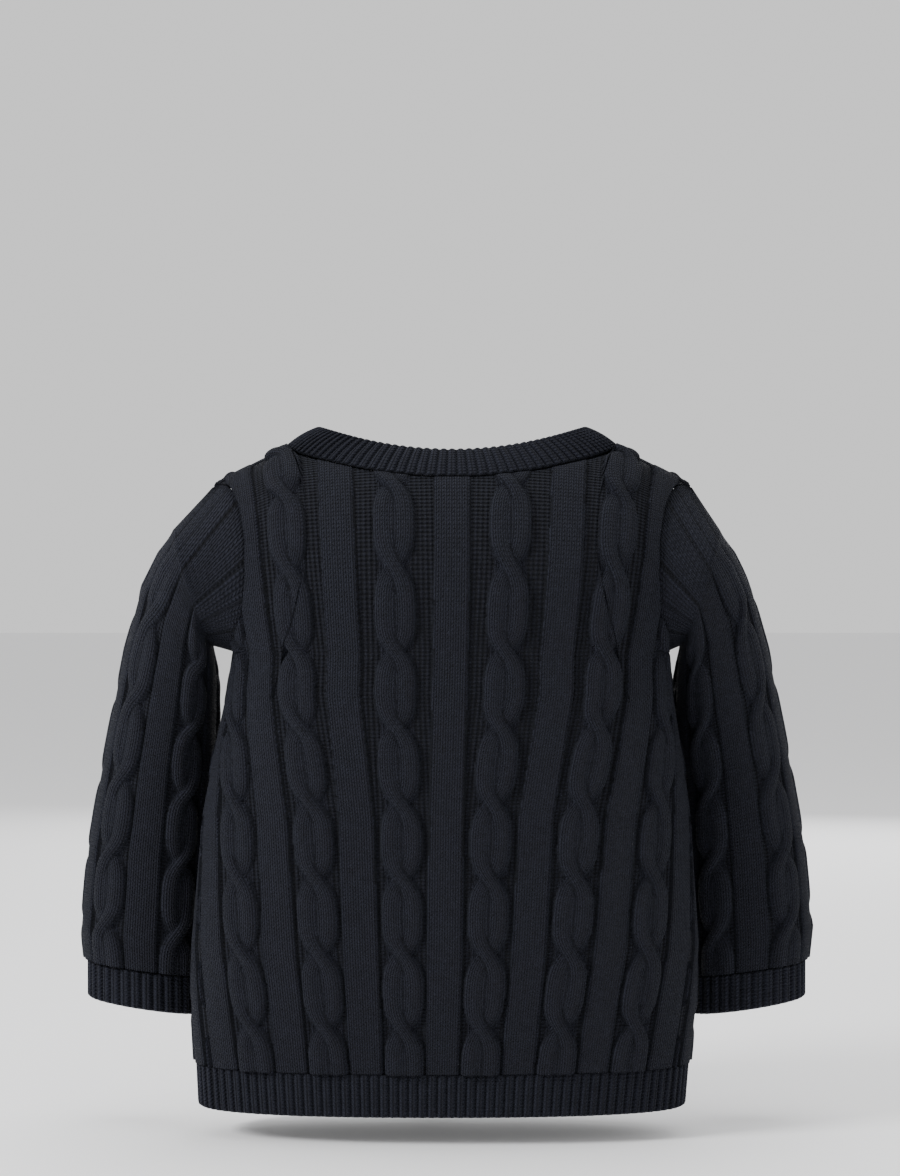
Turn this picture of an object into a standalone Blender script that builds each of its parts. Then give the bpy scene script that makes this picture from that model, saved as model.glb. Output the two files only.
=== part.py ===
# A baby's cable-knit cardigan, filled out as if worn and hollow inside.
# The back faces -Y, the front faces +Y, +Z is up, and the origin lies between
# the two points where the neck meets the shoulder seams.
# Lengths below are in millimetres and become metres in make_object.
# "Height" is the row of knitting: level with z up to DOME_START, and from
# there on an angle over the shoulder, up to the shoulder seam at SHOULDER_ROW.

import math

import bmesh
import bpy
import numpy as np
from mathutils.geometry import delaunay_2d_cdt

MM = 0.001
SEAM_GAP = 0.36         # between two pieces at a seam
WALL = 1.7              # knitted cloth under the raised ribs
RIB_RISE = 1.5          # plain ribs stand this far over the channels
SQUARENESS = 2.4        # exponent of the body's rounded section
DOME_START = -70.0
SHOULDER_ROW = 22.0
HEM_TOP = -261.5
HEM_BOTTOM = -280.0
UNDERARM = -88.0
UNDERARM_ROWS = (-87.8, -87.3, -86.3, -84.8, -82.6, -79.6, -76.0)
NECK_HALF_WIDTH = 72.0

# Knitting: ribs of 7 stitches and two-strand cables, with channels between.
PLAIN_WIDTH = 15.0
CABLE_WIDTH = 16.6
TWIST = 31.2            # from one crossing of a cable to the next
FIRST_CROSSING = -242.3
ROWS_PER_TWIST = 3
STRAND_RISE = 3.9       # crown of a strand over the channel
EDGE_RIB_PITCH = 4.05   # ribbing of hem, cuffs, neck and front bands
EDGE_RIB_RISE = 1.2
CURVE_STEP = 6.0        # between mesh points along the curved seams

BACK_EDGE = 3.28        # half width of the back, in pattern repeats
FRONT_REPEATS = 3.5     # width of one front, in pattern repeats
SLEEVE_REPEATS = 5      # round a sleeve
FRONT_EDGE = 12.8       # from the middle of the front to a front's edge
FRONT_FIRST_RIB = 0.22  # middle of a front's first plain rib, in repeats
CUFF_TO_CROSSING = 18.0

# Body sections.  seam: arc from the middle of the back to the side seam.
# gain: how much wider the repeats are in the middle of the back.
BODY_COLUMNS = ("height", "half_width", "back", "front", "seam", "gain", "lean")
BODY = np.array([
    (-280.0, 104.0, 40.0, 42.0, 101.0, 1.00, -2.0),
    (-262.0, 105.2, 42.0, 44.0, 103.0, 1.00, -1.7),
    (-236.0, 107.4, 46.0, 48.0, 108.0, 1.00, -1.2),
    (-211.0, 107.8, 49.0, 51.0, 114.0, 1.00, -0.6),
    (-155.0, 103.6, 50.0, 52.0, 120.0, 1.02, 0.0),
    (-129.0, 99.6, 50.0, 52.0, 120.5, 1.12, 0.7),
    (-104.0, 95.0, 49.0, 51.0, 119.5, 1.24, 1.4),
    (-88.0, 93.4, 48.0, 50.0, 118.6, 1.25, 1.8),
    (-50.0, 98.0, 47.0, 49.0, 130.0, 1.22, 2.4),
    (0.0, 102.0, 45.0, 46.0, 138.0, 1.21, 2.4),
    (22.0, 105.0, 44.0, 44.0, 138.0, 1.20, 2.4),
])

# Armhole: arc from the side of the body to the armhole's edge, row by row.
ARMHOLE_COLUMNS = ("height", "arc_from_side")
ARMHOLE = np.array([
    (-88.0, 0.0), (-86.8, 8.0), (-83.0, 15.0), (-76.5, 21.5), (-67.0, 26.0),
    (-55.0, 29.0), (-40.0, 30.0), (-22.0, 28.0), (0.0, 22.0), (22.0, 14.0),
])

# Sleeve rings: outer and inner side (x outwards from the middle), half depth
# and how far forward the ring's middle lies.
SLEEVE_COLUMNS = ("outer_x", "outer_z", "inner_x", "inner_z", "half_depth", "forward")
SLEEVE = np.array([
    (117.0, -34.0, 99.5, -86.0, 28.0, 2.0),
    (130.5, -60.0, 102.0, -97.0, 26.5, 9.0),
    (138.5, -87.0, 102.5, -114.0, 26.0, 16.0),
    (147.5, -129.0, 102.0, -143.0, 25.0, 24.0),
    (155.5, -172.0, 103.0, -179.0, 23.5, 29.0),
    (159.0, -208.0, 104.5, -216.0, 21.5, 31.0),
    (157.5, -221.5, 105.5, -228.5, 20.0, 31.5),
])
CUFF_BOTTOM = (157.5, -238.0, 105.5, -246.0, 19.0, 32.0)

# Neckband: its top edge, seen against the neck seam that it stands on.
NECK_SEAM_BACK = -13.0
NECK_SEAM_FRONT = -50.0
BAND_TOP_HALF_WIDTH = 56.0
BAND_TOP_SIDE = 9.4
BAND_TOP_BACK = (-21.5, -0.8)
BAND_TOP_FRONT = (34.0, -37.0)

BUTTON_RADIUS = 6.5
BUTTON_THICKNESS = 2.6
BUTTON_COUNT = 5

NAVY = (0.0125, 0.0150, 0.0240, 1.0)
BUTTON_NAVY = (0.0100, 0.0115, 0.0180, 1.0)


# ---------------------------------------------------------------- the body

def column(table, names, name, height):
    return float(np.interp(height, table[:, 0], table[:, names.index(name)]))


def body(name, height):
    return column(BODY, BODY_COLUMNS, name, height)


def quarter(height, side):
    """Arc lengths and points from the middle of the back or front to the side."""
    angle = np.linspace(0.0, math.pi / 2, 181)
    power = 2.0 / SQUARENESS
    x = body("half_width", height) * np.sin(angle) ** power
    y = body("back" if side < 0 else "front", height) * np.clip(np.cos(angle), 0, 1) ** power
    arc = np.concatenate([[0.0], np.cumsum(np.hypot(np.diff(x), np.diff(y)))])
    return arc, x, y


def shoulder_line(x):
    """Height of the shoulder seam, which carries on over the neck."""
    inside = 6.0 * max(0.0, 1.0 - (x / NECK_HALF_WIDTH) ** 2)
    return inside - 0.52 * max(0.0, abs(x) - NECK_HALF_WIDTH)


def body_point(arc, height, side):
    """A point of the body at a signed arc from the middle of the back or front."""
    lengths, xs, ys = quarter(height, side)
    reach = abs(arc)
    if reach > lengths[-1]:
        beyond = reach - lengths[-1]
        side = -side
        lengths, xs, ys = quarter(height, side)
        reach = lengths[-1] - beyond
    x = math.copysign(float(np.interp(reach, lengths, xs)), arc)
    y = side * float(np.interp(reach, lengths, ys))
    z = height
    if height > DOME_START:
        turn = math.pi / 2 * (height - DOME_START) / (SHOULDER_ROW - DOME_START)
        z = DOME_START + (shoulder_line(x) - DOME_START) * math.sin(turn)
        y *= math.cos(turn)
    return np.array([x + body("lean", height), y, z])


def body_frame(arc, height, side):
    """Point, outward normal and the two directions in the cloth."""
    step = 0.5
    low = min(height, SHOULDER_ROW - step)
    across = body_point(arc + step, height, side) - body_point(arc - step, height, side)
    along = body_point(arc, low + step, side) - body_point(arc, low - step, side)
    normal = np.cross(across, along)
    if side > 0:
        normal = -normal
    point = body_point(arc, height, side)
    return point, normal / np.linalg.norm(normal), across, along


def side_arc(height, side):
    return float(quarter(height, side)[0][-1])


def pattern_arc(repeat, height):
    """Arc from the middle of the back for a place in the back's pattern."""
    part = repeat / BACK_EDGE
    gain = body("gain", height)
    return body("seam", height) * (gain * part + (1.0 - gain) * part ** 3)


def front_span(height):
    """Width of a front at a row, from its front edge to the side seam."""
    low = min(height, UNDERARM)
    arc = side_arc(low, 1) + side_arc(low, -1) - body("seam", low)
    return (arc - FRONT_EDGE) * float(np.interp(height, [UNDERARM, 0.0], [1.0, 1.12]))


# ------------------------------------------------------------ the knitting

def crossing_share(turn):
    """0 between two crossings of a cable, 1 at a crossing."""
    return math.exp(-((turn - round(turn)) / 0.17) ** 2)


def strand_places(turn):
    """Places of the front and the back strand across a cable, -0.5 to 0.5."""
    phase = turn - round(turn)
    place = -0.5 * math.tanh(7.0 * phase) / math.tanh(3.5)
    return place, -place


def cable_rise(across, turn):
    """Height of a cable over its channel, at -1 to 1 across its width."""
    crossing = crossing_share(turn)
    front, back = strand_places(turn)
    rise = 0.0
    for place, lift in ((front, 0.22), (back, -0.45)):
        offset = (across - place) / 0.56
        if abs(offset) < 1.0:
            rise = max(rise, STRAND_RISE * math.sqrt(1.0 - offset ** 2) * (1.0 + lift * crossing))
    return rise


def cable_half(turn):
    return CABLE_WIDTH / 2 * (1.0 - 0.16 * crossing_share(turn))


def rib_rise(repeat, width, height):
    """Height of the knitting over its channels; width is one repeat's width."""
    scale = min(1.0, 0.93 * width / (PLAIN_WIDTH + CABLE_WIDTH))
    offset = (repeat - round(repeat)) * width
    if abs(offset) < PLAIN_WIDTH * scale / 2:
        edge = PLAIN_WIDTH * scale / 2 - abs(offset)
        return RIB_RISE * min(1.0, edge / 1.2)
    turn = (height - FIRST_CROSSING) / TWIST
    across = (offset - math.copysign(width / 2, offset)) / (cable_half(turn) * scale)
    return cable_rise(across, turn) if abs(across) < 1.0 else 0.0


def pattern_lines(first, last, width, height):
    """Places in the pattern where a row of knitting has a mesh point."""
    scale = min(1.0, 0.93 * width / (PLAIN_WIDTH + CABLE_WIDTH))
    plain = (PLAIN_WIDTH * scale / 2 - 1.2) / width
    turn = (height - FIRST_CROSSING) / TWIST
    cable = 0.52 * cable_half(turn) * scale / width
    channel = (PLAIN_WIDTH * scale / width + 1.0 - CABLE_WIDTH * scale / width) / 4
    lines = []
    for repeat in range(math.floor(first) - 1, math.ceil(last) + 2):
        for offset in (-channel, -plain, plain, channel, 0.5 - cable, 0.5, 0.5 + cable):
            lines.append(repeat + offset)
    return lines


# ------------------------------------------------------------- making solids

def make_material(name, colour, roughness):
    material = bpy.data.materials.new(name)
    material.use_nodes = True
    shader = material.node_tree.nodes["Principled BSDF"]
    shader.inputs["Base Color"].default_value = colour
    shader.inputs["Roughness"].default_value = roughness
    shader.inputs["Metallic"].default_value = 0.0
    return material


def make_object(name, points, faces, material):
    mesh = bpy.data.meshes.new(name)
    mesh.from_pydata([tuple(float(v) * MM for v in point) for point in points], [], faces)
    shape = bmesh.new()
    shape.from_mesh(mesh)
    bmesh.ops.recalc_face_normals(shape, faces=shape.faces)
    shape.to_mesh(mesh)
    shape.free()
    mesh.materials.append(material)
    thing = bpy.data.objects.new(name, mesh)
    bpy.context.scene.collection.objects.link(thing)
    return thing


def shares(points, line):
    """How far along a line each of its points lies, from 0 to 1."""
    steps = [float(np.linalg.norm(points[b] - points[a])) for a, b in zip(line, line[1:])]
    total = np.concatenate([[0.0], np.cumsum(steps)])
    return total / total[-1]


def zip_lines(points, outer, inner):
    """Triangles between an outer and an inner edge that start and end together."""
    outer_share = shares(points, outer)
    inner_share = shares(points, inner)
    faces = []
    i = j = 0
    while i < len(outer) - 1 or j < len(inner) - 1:
        step_outer = j == len(inner) - 1 or (
            i < len(outer) - 1 and outer_share[i + 1] <= inner_share[j + 1] + 1e-9)
        if step_outer:
            faces.append((outer[i], outer[i + 1], inner[j]))
            i += 1
        else:
            faces.append((outer[i], inner[j + 1], inner[j]))
            j += 1
    return faces


def grid_faces(start, rows, columns, closed):
    faces = []
    for row in range(rows - 1):
        for step in range(columns if closed else columns - 1):
            a = start + row * columns + step
            b = start + row * columns + (step + 1) % columns
            faces.append((a, b, b + columns))
            faces.append((a, b + columns, a + columns))
    return faces


def grid_solid(name, outer, inner, closed, material):
    """A wall between an outer and an inner grid of rows of points."""
    rows, columns = len(outer), len(outer[0])
    inner_rows, inner_columns = len(inner), len(inner[0])
    points = [p for row in outer for p in row] + [p for row in inner for p in row]
    base = rows * columns
    faces = grid_faces(0, rows, columns, closed)
    faces += [tuple(reversed(f)) for f in grid_faces(base, inner_rows, inner_columns, closed)]

    def row_line(start, count):
        line = list(range(start, start + count))
        return line + line[:1] if closed else line

    faces += zip_lines(points, row_line(0, columns), row_line(base, inner_columns))
    top = row_line((rows - 1) * columns, columns)
    inner_top = row_line(base + (inner_rows - 1) * inner_columns, inner_columns)
    faces += [tuple(reversed(f)) for f in zip_lines(points, top, inner_top)]
    if not closed:
        for edge, inner_edge, flip in ((0, 0, True), (columns - 1, inner_columns - 1, False)):
            line = [row * columns + edge for row in range(rows)]
            other = [base + row * inner_columns + inner_edge for row in range(inner_rows)]
            strip = zip_lines(points, line, other)
            faces += [tuple(reversed(f)) for f in strip] if flip else strip
    return make_object(name, points, faces, material)


def outline_distance(spot, outline):
    best = 1e9
    for a, b in zip(outline, np.roll(outline, -1, axis=0)):
        along = b - a
        share = np.clip(np.dot(spot - a, along) / max(1e-9, np.dot(along, along)), 0, 1)
        best = min(best, float(np.linalg.norm(spot - a - share * along)))
    return best


def inside(spot, outline):
    x, y = spot
    odd = False
    for (ax, ay), (bx, by) in zip(outline, np.roll(outline, -1, axis=0)):
        if (ay > y) != (by > y) and x < (bx - ax) * (y - ay) / (by - ay) + ax:
            odd = not odd
    return odd


def stays_inside(start, end, outline):
    steps = [start + (end - start) * share for share in (0.25, 0.5, 0.75)]
    return all(inside(s, outline) and outline_distance(s, outline) > 0.8 for s in steps)


def triangulate(outline, rows, clearance):
    """Triangles over a flat outline and the rows of places inside it."""
    flat = [np.array(p) for p in outline]
    ring = np.array(flat)
    links = []
    above = {}
    for row in rows:
        here = {}
        for key, spot in enumerate(row):
            if spot is None:
                continue
            spot = np.array(spot)
            if inside(spot, ring) and outline_distance(spot, ring) > clearance:
                here[key] = len(flat)
                flat.append(spot)
                if key in above and stays_inside(flat[above[key]], spot, ring):
                    links.append((above[key], here[key]))
        above = here
    result = delaunay_2d_cdt([tuple(p) for p in flat], links, [list(range(len(outline)))], 1, 1e-6)
    spots, faces, origins = result[0], result[2], result[3]
    order = [o[0] if o else None for o in origins]
    if None in order or len(spots) != len(flat):
        raise ValueError("the cloth's outline crosses itself")
    return flat, [tuple(order[i] for i in face) for face in faces]


# ----------------------------------------------------------- body panels

class Panel:
    """A knitted panel of the body: its pattern, its place and its outline."""

    def __init__(self, side, hand):
        self.side = side        # -1 back, +1 front
        self.hand = hand        # 0 for the back, else the sign of x

    def arc(self, repeat, height):
        if self.side < 0:
            return pattern_arc(repeat, height)
        return self.hand * (FRONT_EDGE + front_span(height) * repeat / FRONT_REPEATS)

    def repeat(self, arc, height):
        if self.side > 0:
            return (abs(arc) - FRONT_EDGE) * FRONT_REPEATS / front_span(height)
        places = np.linspace(-BACK_EDGE - 0.6, BACK_EDGE + 0.6, 81)
        return float(np.interp(arc, pattern_arc(places, height), places))

    def width(self, repeat, height):
        near = self.arc(repeat - 0.1, height)
        return abs(self.arc(repeat + 0.1, height) - near) / 0.2

    def rise(self, arc, height):
        """Seen from outside, every cable's front strand falls to the right."""
        repeat = self.repeat(arc, height)
        width = self.width(repeat, height)
        if self.side < 0:
            return rib_rise(repeat, width, height)
        return rib_rise(-self.hand * (repeat - FRONT_FIRST_RIB), width, height)

    def lines(self, height):
        width = self.width(1.0, height)
        if self.side < 0:
            return pattern_lines(-BACK_EDGE, BACK_EDGE, width, height)
        lines = pattern_lines(0.0, FRONT_REPEATS, width, height)
        return [line + FRONT_FIRST_RIB for line in lines]

    def outer(self, arc, height):
        point, normal, _, _ = body_frame(arc, height, self.side)
        return point + normal * (self.rise(arc, height) - RIB_RISE)

    def inner(self, arc, height):
        point, normal, _, _ = body_frame(arc, height, self.side)
        return point - normal * (RIB_RISE + WALL)


def armhole_arc(height, side):
    return side_arc(height, side) - column(ARMHOLE, ARMHOLE_COLUMNS, "arc_from_side", height)


def neck_spot(angle):
    """Arc, row and side of the neck seam at an angle round from the back."""
    side = -1 if math.cos(angle) > 0 else 1
    drop = NECK_SEAM_BACK if side < 0 else NECK_SEAM_FRONT
    x = NECK_HALF_WIDTH * math.sin(angle)
    z = drop * math.cos(angle) ** 2
    rise = (z - DOME_START) / (shoulder_line(x) - DOME_START)
    turn = math.asin(min(1.0, rise))
    height = DOME_START + (SHOULDER_ROW - DOME_START) * turn / (math.pi / 2)
    lengths, xs, _ = quarter(height, side)
    return math.copysign(float(np.interp(abs(x), xs, lengths)), x), height, side


def shoulder_height(arc, side):
    """Row that lies half a seam's gap short of the shoulder seam."""
    lengths, _, ys = quarter(SHOULDER_ROW, side)
    depth = float(np.interp(abs(arc), lengths, ys))
    turn = math.acos(min(0.5, SEAM_GAP / 2 / depth))
    return DOME_START + (SHOULDER_ROW - DOME_START) * turn / (math.pi / 2)


def spread(values, step):
    """Evenly spaced values from the first to the last, about a step apart."""
    first, last = values
    count = max(1, round(abs(last - first) / step))
    return list(np.linspace(first, last, count + 1))


def half_outline(side, edge_of_row, step):
    """Right half of a body panel's outline, from the hem's side to the neck.

    Each side of the outline is its own line of (arc, height) places.
    """
    inset = SEAM_GAP / 2
    seam = [(edge_of_row(h) - inset, h) for h in spread((HEM_TOP, UNDERARM - 2.0), step)]
    rows = list(UNDERARM_ROWS) + spread((-72.0, 14.0), CURVE_STEP) + [20.0]
    armhole = [seam[-1]] + [(armhole_arc(h, side) - inset, h) for h in rows]
    outer_arc = armhole_arc(SHOULDER_ROW, side) - inset
    neck_arc = abs(neck_spot(math.pi / 2 - 0.001)[0]) + inset
    shoulder = [(a, shoulder_height(a, side)) for a in spread((outer_arc, neck_arc), 6.0)]
    armhole.append(shoulder[0])
    neck = [shoulder[-1]]
    for angle in np.linspace(math.pi / 2 - 0.16, 0.0, round(110 / CURVE_STEP)):
        turned = angle if side < 0 else math.pi - angle
        arc, height, _ = neck_spot(turned)
        if side < 0 or arc > FRONT_EDGE + 2.5:
            neck.append((abs(arc), height - inset))
    return seam, armhole, shoulder, neck


def panel_outline(panel, step):
    """Sides of a panel's outline, anticlockwise as seen in (arc, height)."""
    side = panel.side
    if side < 0:
        seam, armhole, shoulder, neck = half_outline(side, lambda h: body("seam", h), step)
        right = [seam, armhole, shoulder, neck]
        left = [[(-a, h) for a, h in reversed(line)] for line in reversed(right)]
        edge = seam[0][0]
        hem = [(a, HEM_TOP) for a in spread((-edge, edge), step * 0.62)]
        return [hem] + right + left
    seam, armhole, shoulder, neck = half_outline(
        side, lambda h: FRONT_EDGE + front_span(h), step)
    angle = math.pi - math.asin(FRONT_EDGE / NECK_HALF_WIDTH)
    corner = (FRONT_EDGE, neck_spot(angle)[1] - SEAM_GAP / 2)
    neck.append(corner)
    edge = [(FRONT_EDGE, h) for h in spread((corner[1], HEM_TOP), step)]
    hem = [(a, HEM_TOP) for a in spread((FRONT_EDGE, seam[0][0]), step * 0.62)]
    lines = [hem, seam, armhole, shoulder, neck, edge]
    if panel.hand < 0:
        lines = [[(-a, h) for a, h in reversed(line)] for line in reversed(lines)]
    return lines


def panel_solid(name, panel, material):
    """Outer face with the raised knitting, plain inner face, and the rims."""
    row_step = TWIST / ROWS_PER_TWIST
    outer_sides = panel_outline(panel, row_step)
    inner_sides = panel_outline(panel, 2 * row_step)
    first = math.ceil((HEM_TOP - FIRST_CROSSING) / row_step)
    last = math.floor((SHOULDER_ROW - 4.0 - FIRST_CROSSING) / row_step)
    heights = [FIRST_CROSSING + k * row_step for k in range(first, last + 1)]
    reach = BACK_EDGE if panel.side < 0 else FRONT_REPEATS
    fine_rows = [[(panel.arc(c, h), h) if abs(c) < reach else None for c in panel.lines(h)]
                 for h in heights]
    coarse = np.linspace(-reach if panel.side < 0 else 0.0, reach, 15 if panel.side < 0 else 8)
    coarse_rows = [[(panel.arc(c, h), h) for c in coarse] for h in heights[::2]]
    points, faces, rims = [], [], []
    for sides, rows, clearance, place in (
            (outer_sides, fine_rows, 2.2, panel.outer),
            (inner_sides, coarse_rows, 6.0, panel.inner)):
        outline = [spot for line in sides for spot in line[:-1]]
        flat, triangles = triangulate(outline, rows, clearance)
        base = len(points)
        points += [place(*spot) for spot in flat]
        faces += [tuple(base + i for i in face) for face in triangles]
        starts = np.cumsum([0] + [len(line) - 1 for line in sides])
        loop = list(range(base, base + len(outline))) + [base]
        rims.append([loop[a:b + 1] for a, b in zip(starts, starts[1:])])
    for outer_line, inner_line in zip(*rims):
        faces += zip_lines(points, outer_line, inner_line)
    return make_object(name, points, faces, material)


# ------------------------------------------------------- hem, cuffs, neck

def edge_ribs(length):
    """Shares of a length with a mesh point, and whether each is a crest."""
    ribs = max(3, round(length / EDGE_RIB_PITCH))
    return [(k / (2 * ribs), k % 2) for k in range(2 * ribs + 1)]


def hem_solid(name, panel, material):
    inset = SEAM_GAP / 2
    levels = (HEM_BOTTOM, HEM_TOP - SEAM_GAP)

    def ends(height):
        if panel.side < 0:
            edge = body("seam", height) - inset
            return -edge, edge
        reach = FRONT_EDGE + front_span(height) - inset
        return (FRONT_EDGE, reach) if panel.hand > 0 else (-reach, -FRONT_EDGE)

    length = ends(HEM_TOP)[1] - ends(HEM_TOP)[0]
    outer, inner = [], []
    for height in levels:
        first, last = ends(height)
        outer.append([])
        for share, crest in edge_ribs(length):
            point, normal, _, _ = body_frame(first + (last - first) * share, height, panel.side)
            outer[-1].append(point + normal * (EDGE_RIB_RISE * crest - RIB_RISE))
        inner.append([])
        for share in np.linspace(0, 1, max(6, round(length / 14))):
            point, normal, _, _ = body_frame(first + (last - first) * share, height, panel.side)
            inner[-1].append(point - normal * (RIB_RISE + WALL))
    return grid_solid(name, outer, inner, False, material)


def seam_ring(spot_at, angles):
    """Along a seam: the body's point, its normal and the way out of the panel."""
    ring = []
    for angle in angles:
        point, normal, _, _ = body_frame(*spot_at(angle))
        before = body_point(*spot_at(angle - 0.02))
        after = body_point(*spot_at(angle + 0.02))
        tangent = (after - before) / np.linalg.norm(after - before)
        ring.append((point, normal, np.cross(normal, tangent)))
    return ring


def neckband_solid(name, material):
    """The ribbed band on the neck seam, open between the two fronts."""
    end = math.pi - math.asin((FRONT_EDGE + 0.1) / NECK_HALF_WIDTH)

    def top_point(angle):
        shape = math.cos(angle) ** 2
        depth, level = BAND_TOP_BACK if math.cos(angle) > 0 else BAND_TOP_FRONT
        y = depth * abs(math.cos(angle))
        x = BAND_TOP_HALF_WIDTH * math.sin(angle)
        if math.cos(angle) < 0:
            x = math.copysign(max(abs(x), FRONT_EDGE * 0.98), x)
        return np.array([x + 2.4, y, BAND_TOP_SIDE + (level - BAND_TOP_SIDE) * shape])

    def grid(angles, lift):
        rows = [[], [], []]
        for (point, normal, away), angle, crest in zip(
                seam_ring(neck_spot, angles), angles, lift):
            top = top_point(angle)
            foot = point + away * (SEAM_GAP + 0.25)
            tangent = top_point(angle + 0.02) - top_point(angle - 0.02)
            facing = np.cross(tangent, top - foot)
            facing /= np.linalg.norm(facing)
            middle = (foot + top) / 2 + facing * 1.0
            bulge = normal + facing
            bulge /= np.linalg.norm(bulge)
            rows[0].append(foot + normal * crest)
            rows[1].append(middle + bulge * crest)
            rows[2].append(top + facing * crest)
        return rows

    fine = edge_ribs(385.0)
    fine_angles = [-end + 2 * end * share for share, _ in fine]
    coarse_angles = np.linspace(-end, end, 31)
    outer = grid(fine_angles, [EDGE_RIB_RISE * crest - RIB_RISE for _, crest in fine])
    inner = grid(coarse_angles, [-RIB_RISE - WALL] * len(coarse_angles))
    return grid_solid(name, outer, inner, False, material)


# ------------------------------------------------------------------ sleeves

def armhole_spot(hand):
    """Round the armhole: 0 at the underarm, pi at the shoulder, back first."""
    def spot(angle):
        angle = angle % (2 * math.pi)
        side = -1 if angle < math.pi else 1
        share = (1.0 - math.cos(angle)) / 2
        height = UNDERARM + (SHOULDER_ROW - UNDERARM) * share
        return hand * armhole_arc(height, side), height, side
    return spot


def sleeve_lengths():
    """Distance of each sleeve ring from the first, along the rings' middles."""
    steps = np.hypot(*np.diff((SLEEVE[:, 0:2] + SLEEVE[:, 2:4]) / 2, axis=0).T)
    return np.concatenate([[0.0], np.cumsum(steps)])


def sleeve_ring_values(length, place):
    return [float(np.interp(place, length, SLEEVE[:, SLEEVE_COLUMNS.index(name)]))
            for name in SLEEVE_COLUMNS]


def sleeve_ring_point(values, hand, angle):
    """Point of a ring at an angle: 0 at the inner side, pi/2 at the back."""
    outer_x, outer_z, inner_x, inner_z, depth, forward = values
    across = -math.cos(angle)
    x = (outer_x + inner_x) / 2 + (outer_x - inner_x) / 2 * across
    z = (outer_z + inner_z) / 2 + (outer_z - inner_z) / 2 * across
    return np.array([hand * x, forward - depth * math.sin(angle), z])


def sleeve_frame(values, hand, angle):
    point = sleeve_ring_point(values, hand, angle)
    around = sleeve_ring_point(values, hand, angle + 0.02) - sleeve_ring_point(
        values, hand, angle - 0.02)
    outer_x, outer_z, inner_x, inner_z = values[:4]
    slope = np.array([hand * (outer_x - inner_x), 0.0, outer_z - inner_z])
    axis = np.cross(slope, [0.0, 1.0, 0.0])
    normal = np.cross(around, axis)
    middle = np.array([hand * (outer_x + inner_x) / 2, values[5], (outer_z + inner_z) / 2])
    if np.dot(normal, point - middle) < 0:
        normal = -normal
    return point, normal / np.linalg.norm(normal)


def sleeve_solid(name, hand, material):
    length = sleeve_lengths()
    spot = armhole_spot(hand)
    row_step = TWIST / ROWS_PER_TWIST
    rows = math.ceil(length[-1] / row_step)
    places = np.linspace(0.0, length[-1], rows + 1)

    def ring_angle(share):
        return 2 * math.pi * share

    def turn_of(place):
        return (length[-1] - place - CUFF_TO_CROSSING) / TWIST

    def armhole_ring(columns, rise):
        ring = []
        for share in columns:
            angle = ring_angle(share)
            point, normal, _, _ = body_frame(*spot(angle))
            before = body_point(*spot(angle - 0.02))
            after = body_point(*spot(angle + 0.02))
            away = hand * np.cross(after - before, normal)
            away /= np.linalg.norm(away)
            crown = math.exp(-((angle - math.pi) / 0.5) ** 2)
            ring.append(point + away * SEAM_GAP * (2.0 + 3.0 * crown) + normal * rise)
        return ring

    def outer_columns(place):
        width = 36.0
        turn = turn_of(place)
        lines = pattern_lines(0.0, SLEEVE_REPEATS - 1.0, width, FIRST_CROSSING + turn * TWIST)
        lines = [line for line in lines if -0.5 < line <= SLEEVE_REPEATS - 0.5 + 1e-9]
        return sorted(lines)

    def share_of(line):
        """The back's middle line of the sleeve carries a plain rib."""
        return (line / SLEEVE_REPEATS + 0.25) % 1.0

    first = outer_columns(0.0)
    outer = [armhole_ring([share_of(line) for line in first], -RIB_RISE)]
    for place in places:
        values = sleeve_ring_values(length, place)
        half = (values[0] - values[2]) / 2
        width = math.pi * (half + values[4]) / SLEEVE_REPEATS
        height = FIRST_CROSSING + turn_of(place) * TWIST
        ring = []
        for line in outer_columns(place):
            point, normal = sleeve_frame(values, hand, ring_angle(share_of(line)))
            rise = rib_rise(hand * line, width, height)
            ring.append(point + normal * (rise - RIB_RISE))
        outer.append(ring)
    coarse = [(k + 0.5) / 14 for k in range(14)]
    inner = [armhole_ring(coarse, -RIB_RISE - WALL)]
    for place in places[::2]:
        values = sleeve_ring_values(length, place)
        ring = []
        for share in coarse:
            point, normal = sleeve_frame(values, hand, ring_angle(share))
            ring.append(point - normal * (RIB_RISE + WALL))
        inner.append(ring)
    return grid_solid(name, outer, inner, True, material)


def cuff_solid(name, hand, material):
    ribs = 32
    top = list(SLEEVE[-1])
    top[1] -= SEAM_GAP + 0.2
    top[3] -= SEAM_GAP + 0.2
    outer, inner = [], []
    for values in (top, list(CUFF_BOTTOM)):
        ring = []
        for k in range(2 * ribs):
            point, normal = sleeve_frame(values, hand, math.pi * k / ribs)
            ring.append(point + normal * (EDGE_RIB_RISE * (k % 2) - RIB_RISE - 0.6))
        outer.append(ring)
        ring = []
        for k in range(16):
            point, normal = sleeve_frame(values, hand, 2 * math.pi * k / 16)
            ring.append(point - normal * (RIB_RISE + WALL + 0.6))
        inner.append(ring)
    return grid_solid(name, outer, inner, True, material)


# ------------------------------------------------------- bands and buttons

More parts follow.
